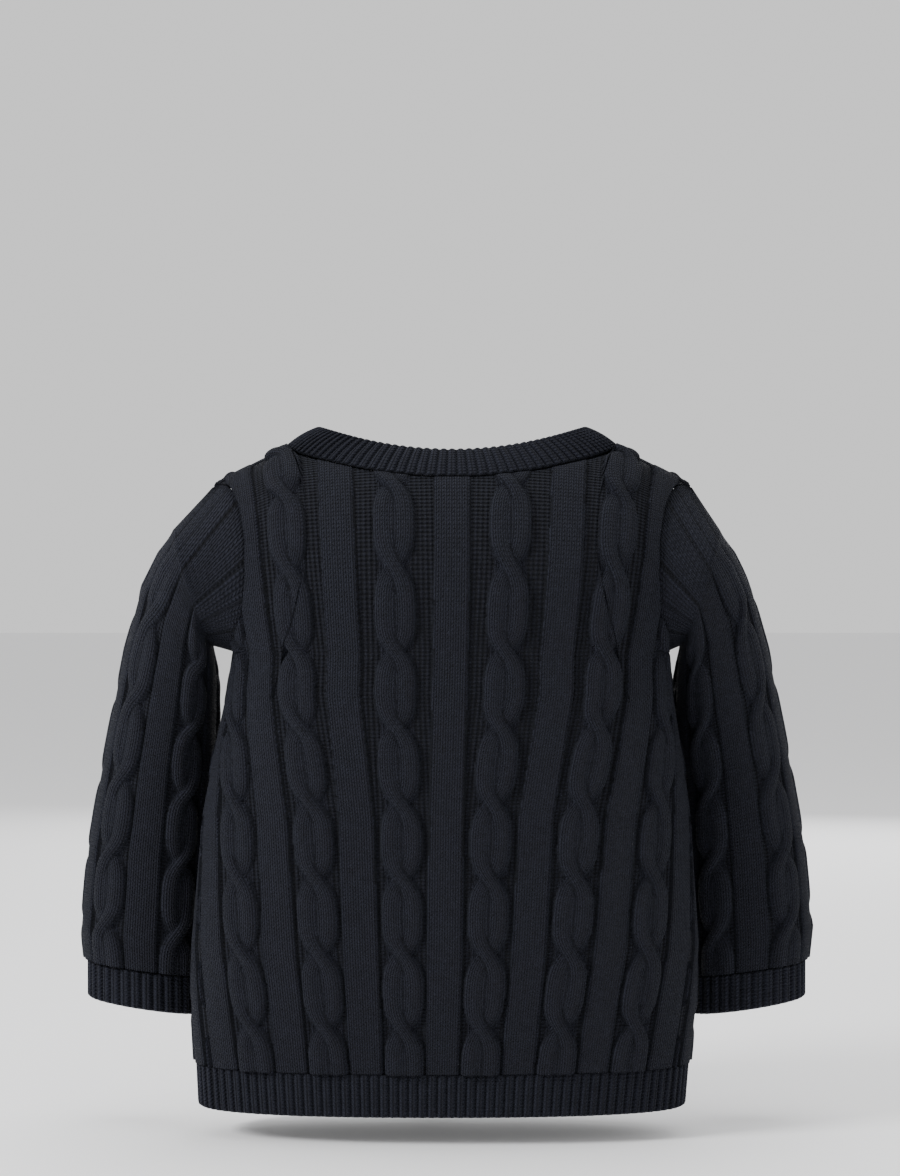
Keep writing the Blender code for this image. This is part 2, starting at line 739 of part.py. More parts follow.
def band_solid(name, arcs, lifts, material):
    """A front band from the hem's lower edge to the top of the neckband."""
    top_row = neck_spot(math.pi)[1]
    low = HEM_BOTTOM
    rows = edge_ribs(top_row - low)
    outer, inner = [], []

    def place(arc, share, lift):
        height = low + (top_row - low) * share
        point, normal, _, _ = body_frame(arc, height, 1)
        return point + normal * lift

    def crown(arc, lift):
        """End of the band, level with the neckband's top edge."""
        point, normal, _, _ = body_frame(arc, top_row, 1)
        lean = np.array([0.0, BAND_TOP_FRONT[0] - point[1], BAND_TOP_FRONT[1] - point[2]])
        facing = np.array([0.0, lean[2], -lean[1]])
        facing /= np.linalg.norm(facing)
        return point + lean + facing * lift

    for share, crest in rows:
        outer.append([place(a, share, lift + WALL + EDGE_RIB_RISE * crest)
                      for a, lift in zip(arcs, lifts)])
    outer.append([crown(a, lift + WALL + EDGE_RIB_RISE * 0.5) for a, lift in zip(arcs, lifts)])
    for share in np.linspace(0, 1, 36):
        inner.append([place(a, share, lift) for a, lift in zip(arcs, lifts)])
    inner.append([crown(a, lift) for a, lift in zip(arcs, lifts)])
    return grid_solid(name, outer, inner, False, material)


def button_solid(name, height, lift, material):
    """A turned button with a raised rim and a dished middle."""
    point, normal, across, _ = body_frame(0.0, height, 1)
    across /= np.linalg.norm(across)
    upward = np.cross(normal, across)
    profile = [
        (0.0, 0.0), (BUTTON_RADIUS * 0.8, 0.0), (BUTTON_RADIUS, 0.8),
        (BUTTON_RADIUS, BUTTON_THICKNESS - 0.6), (BUTTON_RADIUS * 0.86, BUTTON_THICKNESS),
        (BUTTON_RADIUS * 0.66, BUTTON_THICKNESS - 0.8), (0.0, BUTTON_THICKNESS - 0.8),
    ]
    turns = 20
    centre = point + normal * lift
    points = [centre + normal * profile[0][1], centre + normal * profile[-1][1]]
    for radius, rise in profile[1:-1]:
        for k in range(turns):
            angle = 2 * math.pi * k / turns
            points.append(centre + normal * rise + radius * (
                math.cos(angle) * across + math.sin(angle) * upward))
    rings = len(profile) - 2
    faces = grid_faces(2, rings, turns, True)
    for k in range(turns):
        after = (k + 1) % turns
        faces.append((0, 2 + after, 2 + k))
        faces.append((1, 2 + (rings - 1) * turns + k, 2 + (rings - 1) * turns + after))
    return make_object(name, points, faces, material)


def build():
    for thing in list(bpy.data.objects):
        bpy.data.objects.remove(thing, do_unlink=True)
    knit = make_material("navy_knit", NAVY, 0.95)
    shell = make_material("button_plastic", BUTTON_NAVY, 0.35)
    back = Panel(-1, 0)
    left = Panel(1, -1)
    right = Panel(1, 1)
    for name, panel in (("back", back), ("front_left", left), ("front_right", right)):
        panel_solid(name, panel, knit)
    for name, panel in (("hem_back", back), ("hem_left", left), ("hem_right", right)):
        hem_solid(name, panel, knit)
    for name, hand in (("left", -1), ("right", 1)):
        sleeve_solid("sleeve_" + name, hand, knit)
        cuff_solid("cuff_" + name, hand, knit)
    neckband_solid("neckband", knit)
    edge = FRONT_EDGE - SEAM_GAP
    under = -RIB_RISE - WALL
    over = under + WALL + EDGE_RIB_RISE + 0.35
    band_solid("band_buttons", (-8.6, -2.0, 5.0, edge), (under,) * 4, knit)
    band_solid("band_holes", (-edge, -9.6, -2.0, 9.0), (under, over, over, over), knit)
    lift = over + WALL + EDGE_RIB_RISE + 0.35
    for k in range(BUTTON_COUNT):
        height = HEM_BOTTOM + 12.0 + k * (UNDERARM + 22.0 - HEM_BOTTOM - 12.0) / (BUTTON_COUNT - 1)
        button_solid("button_%d" % (k + 1), height, lift, shell)


build()
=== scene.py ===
import bpy
import bmesh
import math
import numpy as np
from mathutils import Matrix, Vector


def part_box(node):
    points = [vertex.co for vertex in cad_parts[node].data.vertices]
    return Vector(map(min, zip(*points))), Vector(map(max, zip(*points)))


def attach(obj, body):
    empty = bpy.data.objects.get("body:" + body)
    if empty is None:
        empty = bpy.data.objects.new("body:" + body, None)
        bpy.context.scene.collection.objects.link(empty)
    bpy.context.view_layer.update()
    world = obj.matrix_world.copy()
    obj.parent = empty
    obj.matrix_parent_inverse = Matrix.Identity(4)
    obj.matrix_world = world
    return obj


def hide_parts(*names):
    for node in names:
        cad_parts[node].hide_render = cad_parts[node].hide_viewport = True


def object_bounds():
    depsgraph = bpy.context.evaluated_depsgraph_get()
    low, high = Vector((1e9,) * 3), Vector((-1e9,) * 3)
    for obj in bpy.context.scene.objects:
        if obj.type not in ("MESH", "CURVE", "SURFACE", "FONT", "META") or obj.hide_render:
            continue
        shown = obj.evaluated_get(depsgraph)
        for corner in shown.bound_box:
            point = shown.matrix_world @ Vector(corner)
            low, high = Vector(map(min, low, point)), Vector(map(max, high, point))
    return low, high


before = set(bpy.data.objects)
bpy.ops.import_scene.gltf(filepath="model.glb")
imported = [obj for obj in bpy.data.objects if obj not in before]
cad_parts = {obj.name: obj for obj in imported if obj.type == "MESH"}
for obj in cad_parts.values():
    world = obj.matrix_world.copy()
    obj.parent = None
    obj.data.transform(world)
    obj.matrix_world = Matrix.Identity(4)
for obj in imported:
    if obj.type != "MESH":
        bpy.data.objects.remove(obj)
cadLow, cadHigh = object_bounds()
mm = 0.001

# the photograph looks level at the back of the cardigan
cameraSpot = {"x": 0.0015, "y": -1.35, "z": -0.0602, "lens": 96.9}


def addCamera():
    bpy.ops.object.camera_add(
        location=(cameraSpot["x"], cameraSpot["y"], cameraSpot["z"]),
        rotation=(math.pi / 2, 0.0, 0.0))
    camera = bpy.context.object
    camera.data.lens = cameraSpot["lens"]
    bpy.context.scene.camera = camera
    print("camera set")


# the body's form, with the same sections as the solids, in millimetres
bodyForm = {
    "height": (-280.0, -262.0, -236.0, -211.0, -155.0, -129.0, -104.0, -88.0, -50.0, 0.0, 22.0),
    "halfWidth": (104.0, 105.2, 107.4, 107.8, 103.6, 99.6, 95.0, 93.4, 98.0, 102.0, 105.0),
    "back": (40.0, 42.0, 46.0, 49.0, 50.0, 50.0, 49.0, 48.0, 47.0, 45.0, 44.0),
    "front": (42.0, 44.0, 48.0, 51.0, 52.0, 52.0, 51.0, 50.0, 49.0, 46.0, 44.0),
    "seam": (101.0, 103.0, 108.0, 114.0, 120.0, 120.5, 119.5, 118.6, 130.0, 138.0, 138.0),
    "gain": (1.0, 1.0, 1.0, 1.0, 1.02, 1.12, 1.24, 1.25, 1.22, 1.21, 1.20),
    "lean": (-2.0, -1.7, -1.2, -0.6, 0.0, 0.7, 1.4, 1.8, 2.4, 2.4, 2.4),
    "squareness": 2.4, "domeStart": -70.0, "shoulderRow": 22.0, "underarm": -88.0,
    "hemTop": -261.5, "hemBottom": -280.0, "neckHalfWidth": 72.0, "neckBack": -13.0,
    "neckFront": -50.0, "neckRise": 6.0, "shoulderSlope": 0.52,
    "backEdge": 3.28, "frontRepeats": 3.5, "frontEdge": 12.8, "seamGap": 0.36,
}
armholeForm = {
    "height": (-88.0, -86.8, -83.0, -76.5, -67.0, -55.0, -40.0, -22.0, 0.0, 22.0),
    "arcFromSide": (0.0, 8.0, 15.0, 21.5, 26.0, 29.0, 30.0, 28.0, 22.0, 14.0),
}
# knitting: 7-stitch ribs, two-strand cables and purl channels
knitForm = {
    "plainWidth": 15.0, "cableWidth": 16.6, "twist": 31.2, "firstCrossing": -242.3,
    "strandRise": 3.7, "ribRise": 1.5, "wall": 1.7, "wale": 2.14, "course": 1.6,
    "edgePitch": 4.05, "edgeRise": 1.2, "ribRound": 1.3, "strandHalf": 0.54,
    "frontLift": 0.2, "backLift": -0.5, "crossingShare": 0.17, "crossingTurn": 7.0,
    "frontFirstRib": 0.22, "cuffToCrossing": 18.0,
}


def bodyValue(name, height):
    return np.interp(height, bodyForm["height"], bodyForm[name])


def makeQuarterTable():
    # unit sections: arc, x and y for a run of depth to width ratios
    ratios = np.linspace(0.3, 0.62, 33)
    angle = np.linspace(0.0, math.pi / 2, 361)
    power = 2.0 / bodyForm["squareness"]
    shares = np.linspace(0.0, 1.0, 241)
    lengths, xs, ys = [], [], []
    for ratio in ratios:
        x = np.sin(angle) ** power
        y = ratio * np.clip(np.cos(angle), 0, 1) ** power
        arc = np.concatenate([[0.0], np.cumsum(np.hypot(np.diff(x), np.diff(y)))])
        lengths.append(arc[-1])
        xs.append(np.interp(shares, arc / arc[-1], x))
        ys.append(np.interp(shares, arc / arc[-1], y))
    return {"ratios": ratios, "length": np.array(lengths), "x": np.array(xs), "y": np.array(ys)}


quarterTable = makeQuarterTable()


def tableAt(grid, row, share):
    steps = grid.shape[1] - 1
    column = np.clip(share, 0, 1) * steps
    c0 = np.clip(column.astype(int), 0, steps - 1)
    r0 = np.clip(row.astype(int), 0, grid.shape[0] - 2)
    c = column - c0
    r = row - r0
    low = grid[r0, c0] * (1 - c) + grid[r0, c0 + 1] * c
    high = grid[r0 + 1, c0] * (1 - c) + grid[r0 + 1, c0 + 1] * c
    return low * (1 - r) + high * r


def sectionSizes(height, side):
    width = bodyValue("halfWidth", height)
    depth = np.where(side < 0, bodyValue("back", height), bodyValue("front", height))
    row = np.interp(depth / width, quarterTable["ratios"], np.arange(33.0))
    length = width * np.interp(row, np.arange(33.0), quarterTable["length"])
    return width, row, length


def sideArc(height, side):
    return sectionSizes(np.asarray(height, float), side)[2]


def shoulderLine(x):
    half = bodyForm["neckHalfWidth"]
    over = bodyForm["neckRise"] * np.clip(1.0 - (x / half) ** 2, 0, 1)
    return over - bodyForm["shoulderSlope"] * np.clip(np.abs(x) - half, 0, None)


def bodyPoint(arc, height, side):
    arc = np.asarray(arc, float)
    height = np.broadcast_to(np.asarray(height, float), arc.shape)
    side = np.broadcast_to(np.asarray(side, float), arc.shape)
    reach = np.abs(arc)
    length = sectionSizes(height, side)[2]
    over = reach > length
    otherLength = sectionSizes(height, -side)[2]
    reach = np.where(over, otherLength - (reach - length), reach)
    side = np.where(over, -side, side)
    width, row, length = sectionSizes(height, side)
    share = reach / length
    x = np.copysign(tableAt(quarterTable["x"], row, share) * width, arc)
    y = side * tableAt(quarterTable["y"], row, share) * width
    start, last = bodyForm["domeStart"], bodyForm["shoulderRow"]
    turn = math.pi / 2 * np.clip((height - start) / (last - start), 0, 1)
    z = np.where(height > start, start + (shoulderLine(x) - start) * np.sin(turn), height)
    return np.stack([x + bodyValue("lean", height), y * np.cos(turn), z], axis=-1)


def unit(vectors):
    return vectors / np.maximum(np.linalg.norm(vectors, axis=-1, keepdims=True), 1e-9)


def rounded(share):
    # quarter round: 0 at an edge, 1 a full share in from it
    inside = np.clip(share, 0, 1)
    return np.sqrt(np.clip(1 - (1 - inside) ** 2, 0, 1))


def bodyNormal(arc, height, side):
    step = 0.8
    low = np.minimum(height, bodyForm["shoulderRow"] - step)
    across = bodyPoint(arc + step, height, side) - bodyPoint(arc - step, height, side)
    along = bodyPoint(arc, low + step, side) - bodyPoint(arc, low - step, side)
    return unit(np.cross(across, along)) * (-1.0 if side > 0 else 1.0)


def armholeArc(height, side):
    away = np.interp(height, armholeForm["height"], armholeForm["arcFromSide"])
    return sideArc(height, side) - away


def frontSpan(height):
    low = np.minimum(height, bodyForm["underarm"])
    arc = sideArc(low, 1) + sideArc(low, -1) - bodyValue("seam", low)
    return (arc - bodyForm["frontEdge"]) * np.interp(height, [bodyForm["underarm"], 0], [1, 1.12])


def crossingShare(turn):
    return np.exp(-((turn - np.round(turn)) / knitForm["crossingShare"]) ** 2)


def ribKnit(repeat, width, height):
    # returns the rise over the channel, the wale and course, and how purled it is
    k = knitForm
    scale = np.minimum(1.0, 0.93 * width / (k["plainWidth"] + k["cableWidth"]))
    offset = (repeat - np.round(repeat)) * width
    half = k["plainWidth"] * scale / 2
    crown = 1 + 0.12 * np.cos(offset / half * 1.4)
    plain = k["ribRise"] * rounded((half - np.abs(offset)) / k["ribRound"]) * crown
    plainWale = offset / (k["wale"] * scale) + 0.5
    turn = (height - k["firstCrossing"]) / k["twist"]
    crossing = crossingShare(turn)
    cableHalf = k["cableWidth"] / 2 * scale * (1 - 0.16 * crossing)
    fromMiddle = offset - np.copysign(width / 2, offset)
    across = fromMiddle / cableHalf
    phase = turn - np.round(turn)
    place = -0.5 * np.tanh(k["crossingTurn"] * phase) / math.tanh(k["crossingTurn"] / 2)
    bow = 0.05 * np.cos(2 * math.pi * phase)
    best = np.zeros_like(across)
    wale = fromMiddle / (k["wale"] * scale)
    for spot, lift in ((place, k["frontLift"]), (-place, k["backLift"])):
        spot = spot * (1 - bow)
        inside = np.clip(1 - ((across - spot) / k["strandHalf"]) ** 2, 0, 1)
        rise = k["strandRise"] * inside ** 0.42 * (1 + lift * crossing)
        higher = rise > best
        best = np.where(higher, rise, best)
        wale = np.where(higher, (across - spot) * cableHalf / (k["wale"] * 0.93), wale)
    filled = np.clip(1 - (across / 0.95) ** 6, 0, 1) * (1 - crossing) * k["strandRise"] * 0.84
    best = np.maximum(best, filled)  # the two strands lie close, with a shallow line between
    isPlain = np.abs(offset) < half
    isCable = (~isPlain) & (np.abs(across) < 1.05) & (best > 0.01)
    rise = np.where(isPlain, plain, np.where(isCable, best * 0.86, 0.0))
    wale = np.where(isPlain, plainWale, wale)
    purl = np.where(isPlain | isCable, 0.0, 1.0)
    return rise, wale, height / k["course"], purl


# soft folds pressed into the body, from the armpits and down the back:
# x, z at the middle, half length, half width, lean from upright, depth
backFolds = (
    (-80.0, -96.0, 24.0, 9.0, -38.0, -0.7), (-62.0, -66.0, 30.0, 12.0, -30.0, -0.5),
    (82.0, -98.0, 24.0, 9.0, 36.0, -0.7), (66.0, -70.0, 32.0, 12.0, 28.0, -0.5),
    (-84.0, -150.0, 46.0, 8.0, -8.0, -1.0), (86.0, -165.0, 50.0, 9.0, 8.0, -1.2),
    (-30.0, -205.0, 60.0, 14.0, 4.0, -0.8), (38.0, -190.0, 66.0, 15.0, -5.0, -0.8),
    (4.0, -120.0, 70.0, 18.0, 2.0, 0.7),
)


def foldDepth(x, z, folds):
    total = np.zeros_like(x)
    for middleX, middleZ, length, width, lean, depth in folds:
        c, s = math.cos(math.radians(lean)), math.sin(math.radians(lean))
        along = (z - middleZ) * c + (x - middleX) * s
        across = (x - middleX) * c - (z - middleZ) * s
        total += depth * np.exp(-(along / length) ** 2 - (across / width) ** 2)
    return total


def zipLoops(outer, inner, closed):
    # triangles between two lines of vertices that start and end together
    a = list(outer) + (list(outer[:1]) if closed else [])
    b = list(inner) + (list(inner[:1]) if closed else [])
    faces = []
    i = j = 0
    while i < len(a) - 1 or j < len(b) - 1:
        if j == len(b) - 1 or (i < len(a) - 1 and (i + 1) / (len(a) - 1) <= (j + 1) / (len(b) - 1)):
            faces.append((a[i], a[i + 1], b[j]))
            i += 1
        else:
            faces.append((a[i], b[j + 1], b[j]))
            j += 1
    return faces


def gridQuads(start, rows, columns, closed):
    ids = start + np.arange(rows * columns).reshape(rows, columns)
    right = np.roll(ids, -1, axis=1)
    if not closed:
        ids, right = ids[:, :-1], right[:, :-1]
    quads = np.stack([ids[:-1], right[:-1], right[1:], ids[1:]], axis=-1).reshape(-1, 4)
    return quads.tolist()


def makeShell(name, outer, inner, closed, stitches, material, node):
    # outer and inner are grids of points in mm; stitches holds wale, course and purl
    rows, columns = outer.shape[:2]
    innerRows, innerColumns = inner.shape[:2]
    base = rows * columns
    faces = gridQuads(0, rows, columns, closed)
    faces += [f[::-1] for f in gridQuads(base, innerRows, innerColumns, closed)]
    ids = np.arange(base).reshape(rows, columns)
    innerIds = base + np.arange(innerRows * innerColumns).reshape(innerRows, innerColumns)
    faces += zipLoops(ids[0], innerIds[0], closed)
    faces += [f[::-1] for f in zipLoops(ids[-1], innerIds[-1], closed)]
    if not closed:
        faces += [f[::-1] for f in zipLoops(ids[:, 0], innerIds[:, 0], False)]
        faces += zipLoops(ids[:, -1], innerIds[:, -1], False)
    points = np.concatenate([outer.reshape(-1, 3), inner.reshape(-1, 3)]) * mm
    mesh = bpy.data.meshes.new(name)
    mesh.from_pydata(points.tolist(), [], faces)
    wale, course, purl = stitches
    innerWale = np.linspace(0, innerColumns * 3.0, innerColumns)[None, :].repeat(innerRows, 0)
    innerCourse = np.linspace(0, innerRows * 3.0, innerRows)[:, None].repeat(innerColumns, 1)
    place = np.concatenate([
        np.stack([wale, course], -1).reshape(-1, 2),
        np.stack([innerWale, innerCourse], -1).reshape(-1, 2)])
    corners = np.zeros(len(mesh.loops), dtype=int)
    mesh.loops.foreach_get("vertex_index", corners)
    mesh.uv_layers.new(name="Stitches").data.foreach_set("uv", place[corners].ravel())
    # the purl share sets purl bumps and where the knit paints shade; the inner walls count as purl
    purled = mesh.attributes.new("purl", "FLOAT", "POINT")
    inside = np.ones(innerRows * innerColumns)
    purled.data.foreach_set("value", np.concatenate([purl.ravel(), inside]))
    shape = bmesh.new()
    shape.from_mesh(mesh)
    bmesh.ops.recalc_face_normals(shape, faces=shape.faces)
    shape.to_mesh(mesh)
    shape.free()
    mesh.shade_smooth()
    mesh.materials.append(material)
    thing = bpy.data.objects.new(name, mesh)
    bpy.context.scene.collection.objects.link(thing)
    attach(thing, "root")
    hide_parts(node)
    return thing


# dark and light are the colour ramp's ends: the yarn's melange tone, with painted shade towards dark
# and painted highlight towards light
knitLook = {
    "dark": (0.0004, 0.0005, 0.0018, 1.0), "light": (0.0118, 0.0130, 0.0215, 1.0),
    "fleck": (0.0270, 0.0300, 0.0430, 1.0), "roughness": 0.93, "sheen": 0.04,
    "stitchDepth": 0.0018, "fuzzDepth": 0.0003, "fuzzScale": 2600.0, "patchScale": 330.0,
    "sheenRoughness": 0.45, "sheenTint": (0.30, 0.36, 0.52, 1.0), "specular": 0.18,
}


def addMath(nodes, links, operation, first, second=None, third=None):
    node = nodes.new("ShaderNodeMath")
    node.operation = operation
    for socket, value in zip(node.inputs, (first, second, third)):
        if value is None:
            continue
        if isinstance(value, (int, float)):
            socket.default_value = value
        else:
            links.new(value, socket)
    return node.outputs[0]


def makeKnit(name, look):
    # V stitches in the UV map's wales and courses, purl bumps in the channels; the stitch height also
    # paints shade into the gaps and highlight onto the yarn tops
    material = bpy.data.materials.new(name)
    material.use_nodes = True
    nodes, links = material.node_tree.nodes, material.node_tree.links
    shader = nodes["Principled BSDF"]
    shader.inputs["Roughness"].default_value = look["roughness"]
    shader.inputs["Sheen Weight"].default_value = look["sheen"]
    shader.inputs["Sheen Roughness"].default_value = look["sheenRoughness"]
    shader.inputs["Sheen Tint"].default_value = look["sheenTint"]
    shader.inputs["Specular IOR Level"].default_value = look["specular"]
    places = nodes.new("ShaderNodeUVMap")
    places.uv_map = "Stitches"
    split = nodes.new("ShaderNodeSeparateXYZ")
    links.new(places.outputs["UV"], split.inputs[0])
    wale, course = split.outputs[0], split.outputs[1]
    inWale = addMath(nodes, links, "FRACT", wale)
    fromMiddle = addMath(nodes, links, "ABSOLUTE", addMath(nodes, links, "SUBTRACT", inWale, 0.5))
    slant = addMath(nodes, links, "MULTIPLY_ADD", fromMiddle, -1.15, course)
    wave = addMath(nodes, links, "MULTIPLY", slant, 2 * math.pi)
    arm = addMath(nodes, links, "MULTIPLY_ADD", addMath(nodes, links, "SINE", wave), 0.5, 0.5)
    legs = addMath(nodes, links, "SUBTRACT", fromMiddle, 0.25)
    square = addMath(nodes, links, "MULTIPLY", legs, legs)
    crown = addMath(nodes, links, "MULTIPLY_ADD", square, -13.0, 1.0)
    crown = addMath(nodes, links, "MAXIMUM", crown, 0.0)
    vee = addMath(nodes, links, "MULTIPLY", crown, addMath(nodes, links, "MULTIPLY_ADD", arm, 0.5, 0.5))
    ridge = addMath(nodes, links, "SINE", addMath(nodes, links, "MULTIPLY", course, 2 * math.pi))
    hump = addMath(nodes, links, "SINE", addMath(nodes, links, "MULTIPLY", wale, 2 * math.pi))
    bead = addMath(nodes, links, "MULTIPLY_ADD", addMath(nodes, links, "ADD", ridge, hump), 0.22, 0.42)
    purl = nodes.new("ShaderNodeAttribute")
    purl.attribute_name = "purl"
    blend = nodes.new("ShaderNodeMix")
    links.new(purl.outputs["Fac"], blend.inputs["Factor"])
    links.new(vee, blend.inputs[2])
    links.new(bead, blend.inputs[3])
    stitch = blend.outputs[0]
    spot = nodes.new("ShaderNodeTexCoord")
    fuzz = nodes.new("ShaderNodeTexNoise")
    fuzz.inputs["Scale"].default_value = look["fuzzScale"]
    fuzz.inputs["Detail"].default_value = 3.0
    links.new(spot.outputs["Object"], fuzz.inputs["Vector"])
    patch = nodes.new("ShaderNodeTexNoise")
    patch.inputs["Scale"].default_value = look["patchScale"]
    patch.inputs["Detail"].default_value = 4.0
    links.new(spot.outputs["Object"], patch.inputs["Vector"])
    # painted shade and highlight: the stitch height darkens the gaps and lightens the yarn tops; the
    # patch noise is the yarn's own melange tone
    shade = addMath(nodes, links, "MULTIPLY_ADD", stitch, 0.62, 0.02)
    shade = addMath(nodes, links, "MULTIPLY_ADD", patch.outputs["Fac"], 0.55, shade)
    # painted shade: purl channels, the low ribs of the ribbing and the inner walls are darkened
    channelShade = addMath(nodes, links, "MULTIPLY", purl.outputs["Fac"], 0.28)
    shade = addMath(nodes, links, "SUBTRACT", shade, channelShade)
    ramp = nodes.new("ShaderNodeValToRGB")
    ramp.color_ramp.elements[0].position = 0.16
    ramp.color_ramp.elements[0].color = look["dark"]
    ramp.color_ramp.elements[1].position = 0.98
    ramp.color_ramp.elements[1].color = look["light"]
    links.new(shade, ramp.inputs[0])
    fleck = nodes.new("ShaderNodeMix")
    fleck.data_type = "RGBA"
    fleckShare = nodes.new("ShaderNodeMapRange")
    fleckShare.inputs["From Min"].default_value = 0.60
    fleckShare.inputs["From Max"].default_value = 0.78
    links.new(fuzz.outputs["Fac"], fleckShare.inputs["Value"])
    links.new(fleckShare.outputs[0], fleck.inputs["Factor"])
    links.new(ramp.outputs[0], fleck.inputs[6])
    fleck.inputs[7].default_value = look["fleck"]
    links.new(fleck.outputs[2], shader.inputs["Base Color"])
    stitchBump = nodes.new("ShaderNodeBump")
    stitchBump.inputs["Distance"].default_value = look["stitchDepth"]
    links.new(stitch, stitchBump.inputs["Height"])
    fuzzBump = nodes.new("ShaderNodeBump")
    fuzzBump.inputs["Distance"].default_value = look["fuzzDepth"]
    fuzzBump.inputs["Strength"].default_value = 0.7
    links.new(fuzz.outputs["Fac"], fuzzBump.inputs["Height"])
    links.new(stitchBump.outputs[0], fuzzBump.inputs["Normal"])
    links.new(fuzzBump.outputs[0], shader.inputs["Normal"])
    return material


panelMesh = {"backColumns": 300, "backRows": 280, "frontColumns": 150, "frontRows": 260}


def neckRow(x, side):
    # the row of the neck seam over a place x across the body
    half = bodyForm["neckHalfWidth"]
    drop = bodyForm["neckBack"] if side < 0 else bodyForm["neckFront"]
    z = drop * np.clip(1 - (x / half) ** 2, 0, 1)
    start, last = bodyForm["domeStart"], bodyForm["shoulderRow"]
    rise = np.clip((z - start) / (shoulderLine(x) - start), 0, 1)
    return start + (last - start) * np.arcsin(rise) / (math.pi / 2)


def edgeArc(height, side):
    # side seam up to the underarm, then the armhole's edge
    if side < 0:
        seam = bodyValue("seam", height)
    else:
        seam = bodyForm["frontEdge"] + frontSpan(height)
    gap = bodyForm["seamGap"] / 2
    upper = np.minimum(seam, armholeArc(height, side))
    return np.where(height < bodyForm["underarm"], seam, upper) - gap


def panelPlaces(side, hand, columns, rows):
    share = np.linspace(-1, 1, columns) if side < 0 else np.linspace(0, 1, columns)
    last = bodyForm["shoulderRow"] - 0.5
    top = np.full(columns, last)
    for _ in range(30):
        if side < 0:
            arc = share * edgeArc(top, side)
        else:
            arc = bodyForm["frontEdge"] + share * (edgeArc(top, side) - bodyForm["frontEdge"])
        x = bodyPoint(arc, np.zeros(columns), side)[:, 0] - bodyValue("lean", 0.0)
        aim = np.minimum(last, neckRow(x, side) - bodyForm["seamGap"] / 2)
        top = 0.5 * top + 0.5 * aim
    bottom = bodyForm["hemTop"]
    height = bottom + np.linspace(0, 1, rows)[:, None] * (top - bottom)[None, :]
    edge = edgeArc(height, side)
    easy = np.mean([edgeArc(height + step, side) for step in np.linspace(-26, 26, 9)], axis=0)
    # columns follow a smoothed edge, and only the outermost reach the armhole's own line
    reach = share[None, :] * (easy + (edge - easy) * np.abs(share[None, :]) ** 8)
    if side > 0:
        front = bodyForm["frontEdge"]
        reach = hand * (reach + front * (1 - share[None, :]))
    return reach, height


def panelKnit(arc, height, side, hand):
    if side > 0:
        span = frontSpan(height)
        repeat = (np.abs(arc) - bodyForm["frontEdge"]) * bodyForm["frontRepeats"] / span
        width = span / bodyForm["frontRepeats"]
        return ribKnit(-hand * (repeat - knitForm["frontFirstRib"]), width, height)
    flat = arc / bodyValue("seam", height)
    gain = bodyValue("gain", height)
    repeat = flat * bodyForm["backEdge"]
    for _ in range(12):  # Newton steps for the place in the pattern
        part = repeat / bodyForm["backEdge"]
        slope = np.maximum(0.25, gain + 3 * (1 - gain) * part ** 2)
        repeat = repeat - (gain * part + (1 - gain) * part ** 3 - flat) / slope * bodyForm["backEdge"]
    part = repeat / bodyForm["backEdge"]
    width = bodyValue("seam", height) * (gain + 3 * (1 - gain) * part ** 2) / bodyForm["backEdge"]
    return ribKnit(repeat, width, height)


def makePanel(name, node, side, hand, columns, rows, material):
    arc, height = panelPlaces(side, hand, columns, rows)
    rise, wale, course, purl = panelKnit(arc, height, side, hand)
    point = bodyPoint(arc, height, side)
    normal = bodyNormal(arc, height, side)
    reach = bodyPoint(arc + 0.8, height, side) - bodyPoint(arc - 0.8, height, side)
    crowded = np.clip((np.linalg.norm(reach, axis=-1) / 1.6 - 0.25) / 0.6, 0, 1)
    rise = rise * crowded * (0.3 + 0.7 * np.clip((height[-1:] - height) / 5.0, 0, 1))
    x, z = point[..., 0], point[..., 2]
    folds = foldDepth(x if side < 0 else -x, z, backFolds)
    outer = point + normal * (rise - knitForm["ribRise"] + folds)[..., None]
    inArc = np.concatenate([arc[:, ::6], arc[:, -1:]], 1)
    inHeight = np.concatenate([height[:, ::6], height[:, -1:]], 1)
    inArc = np.concatenate([inArc[::6], inArc[-1:]])
    inHeight = np.concatenate([inHeight[::6], inHeight[-1:]])
    inPoint = bodyPoint(inArc, inHeight, side)
    inFolds = foldDepth(inPoint[..., 0] * (1 if side < 0 else -1), inPoint[..., 2], backFolds)
    depth = knitForm["ribRise"] + knitForm["wall"] - np.minimum(inFolds, 0)
    inner = inPoint - bodyNormal(inArc, inHeight, side) * depth[..., None]
    piece = makeShell(name, outer, inner, False, (wale, course, purl), material, node)
    print(name, "knitted")
    return piece


def ribWave(place):
    # rise of one-and-one ribbing at a place counted in ribs
    wave = 0.5 - 0.5 * np.cos(2 * math.pi * place)
    return np.clip(wave * 1.25, 0, 1) ** 0.75


# the low purl ribs get purl bumps and the knit's painted shade
def edgeStitches(ribs, course):
    return ribs, course, np.clip(1.0 - 2.2 * ribWave(ribs), 0, 1) * 0.9


